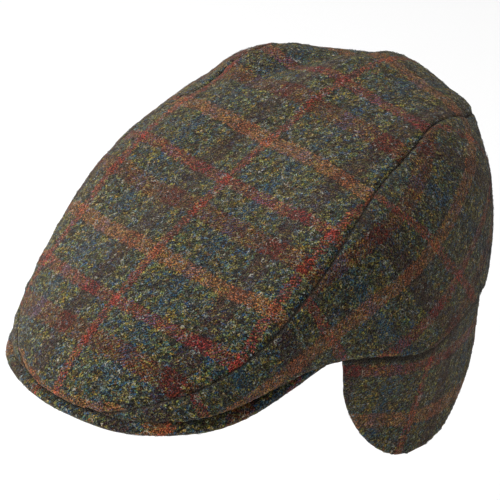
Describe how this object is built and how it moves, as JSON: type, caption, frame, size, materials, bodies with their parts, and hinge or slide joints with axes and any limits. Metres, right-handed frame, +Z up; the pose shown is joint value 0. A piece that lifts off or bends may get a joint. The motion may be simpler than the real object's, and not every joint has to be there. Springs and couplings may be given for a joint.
{
  "type": "flat cap with ear flap",
  "caption": "Wool tweed flat cap with a stiff cloth-covered peak, a puffed top over side panels, and a turned-down band that covers the ears and nape.",
  "frame": {"origin": "middle of the head opening, at the height of the crown's lower edge, where a head holds the cap", "axes": "+Z up, -Y towards the tip of the peak, +X towards the wearer's left"},
  "size_m": [0.19, 0.2423, 0.1475],
  "materials": {
    "tweed": "brushed wool twill in dark green and brown with rust, brick red and maroon checks"
  },
  "bodies": {
    "root": {"top_panel": "tweed", "side_panel_left": "tweed", "side_panel_right": "tweed", "peak": "tweed", "ear_flap": "tweed"}
  },
  "joints": []
}
